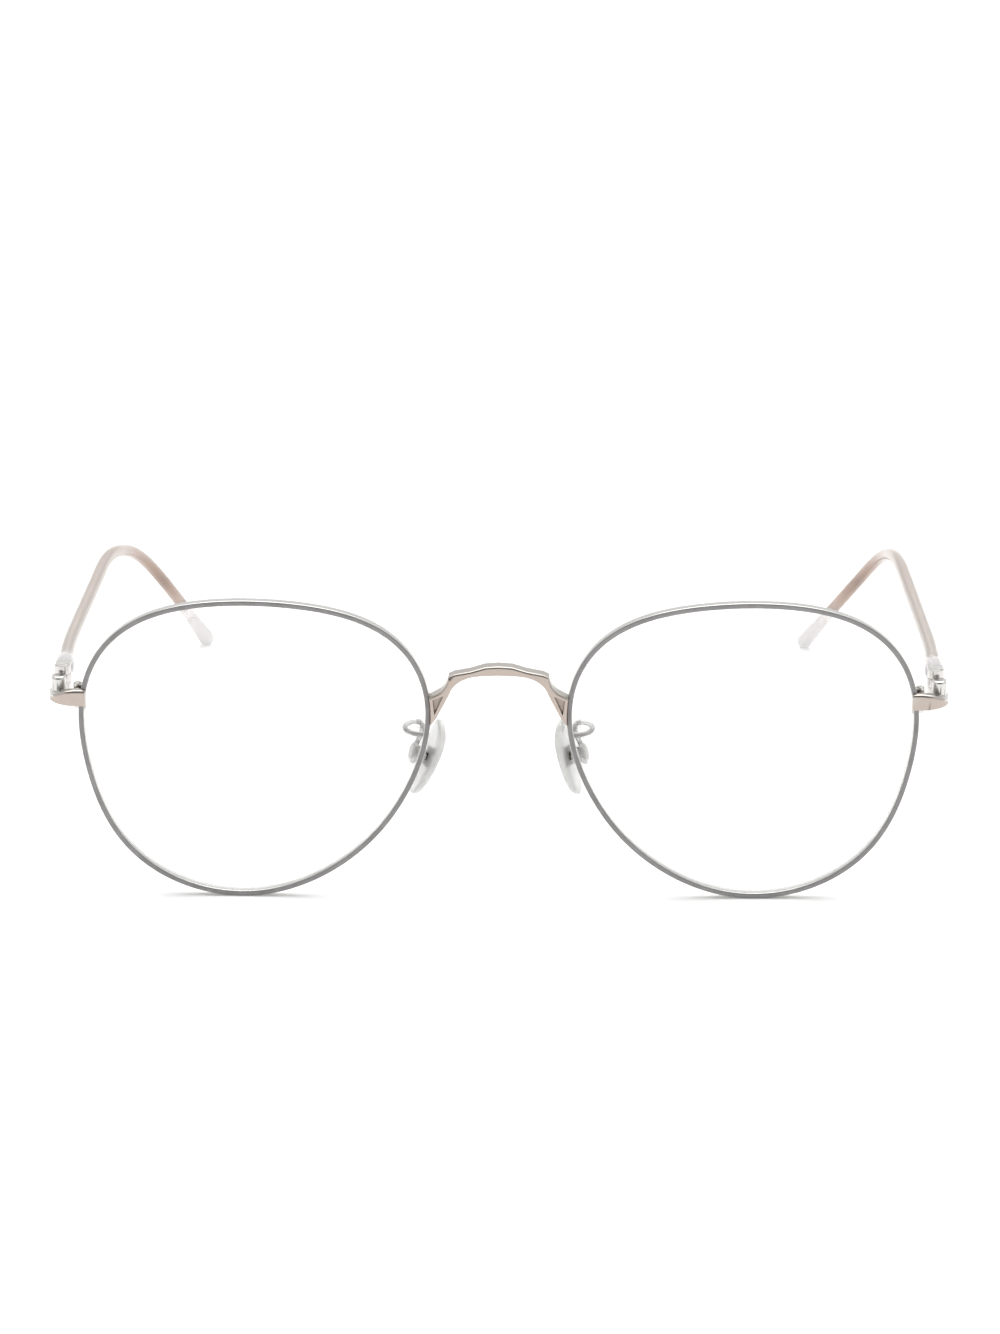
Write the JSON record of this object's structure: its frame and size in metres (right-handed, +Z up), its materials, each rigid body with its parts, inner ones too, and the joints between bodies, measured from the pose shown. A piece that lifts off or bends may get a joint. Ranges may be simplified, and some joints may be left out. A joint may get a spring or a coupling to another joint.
{
  "type": "round wire eyeglasses",
  "caption": "Wire-rimmed eyeglasses with softly rounded lenses, arched bridge, rocking clear nose pads and slim sleeved temples that fold flat on screw hinges.",
  "frame": {"origin": "centre of the bounding box in plan, at the level of the surface the glasses stand on", "axes": "+X to the wearer's left, +Y back along the temples, +Z up; the lenses face -Y"},
  "size_m": [0.1331, 0.1312, 0.046],
  "materials": {
    "rim": "matte warm grey lacquer on the front of a bright wire rim",
    "champagne": "satin rose-champagne plating, silver on the top edges",
    "hardware": "bright silver plating",
    "lens": "clear, plain, with a frosted bevel at the rim",
    "temple_wire": "satin champagne wire",
    "sleeve": "clear, slightly milky tube",
    "insert": "dark plain metal inside the pad",
    "pad": "clear soft silicone"
  },
  "bodies": {
    "front": {"bridge": "champagne", "right_rim": "rim", "right_lens": "lens", "right_endpiece": "champagne", "right_rim_lock_upper": "hardware", "right_rim_lock_lower": "hardware", "right_rim_lock_screw": "hardware", "right_pad_arm": "hardware", "right_pad_box": "hardware", "right_pad_screw": "hardware", "left_rim": "rim", "left_lens": "lens", "left_endpiece": "champagne", "left_rim_lock_upper": "hardware", "left_rim_lock_lower": "hardware", "left_rim_lock_screw": "hardware", "left_pad_arm": "hardware", "left_pad_box": "hardware", "left_pad_screw": "hardware"},
    "right_temple": {"right_temple_hinge": "hardware", "right_hinge_screw": "hardware", "right_temple_wire": "temple_wire", "right_temple_sleeve": "sleeve"},
    "right_pad": {"right_pad_insert": "insert", "right_nose_pad": "pad"},
    "left_temple": {"left_temple_hinge": "hardware", "left_hinge_screw": "hardware", "left_temple_wire": "temple_wire", "left_temple_sleeve": "sleeve"},
    "left_pad": {"left_pad_insert": "insert", "left_nose_pad": "pad"}
  },
  "joints": [
    {"name": "right_temple_hinge_fold", "type": "hinge", "parent": "front", "child": "right_temple", "pos_m": [-0.0648, -0.05772, 0.0323], "axis": [0, 0, -1], "range_deg": [0, 84]},
    {"name": "left_temple_hinge_fold", "type": "hinge", "parent": "front", "child": "left_temple", "pos_m": [0.0648, -0.05772, 0.0323], "axis": [0, 0, 1], "range_deg": [0, 76]},
    {"name": "right_pad_rock", "type": "hinge", "parent": "front", "child": "right_pad", "pos_m": [-0.01171, -0.05785, 0.02059], "axis": [-0.342, 0.9397, 0], "range_deg": [-10, 4]},
    {"name": "left_pad_rock", "type": "hinge", "parent": "front", "child": "left_pad", "pos_m": [0.01171, -0.05785, 0.02059], "axis": [0.342, 0.9397, 0], "range_deg": [-8, 4]}
  ]
}
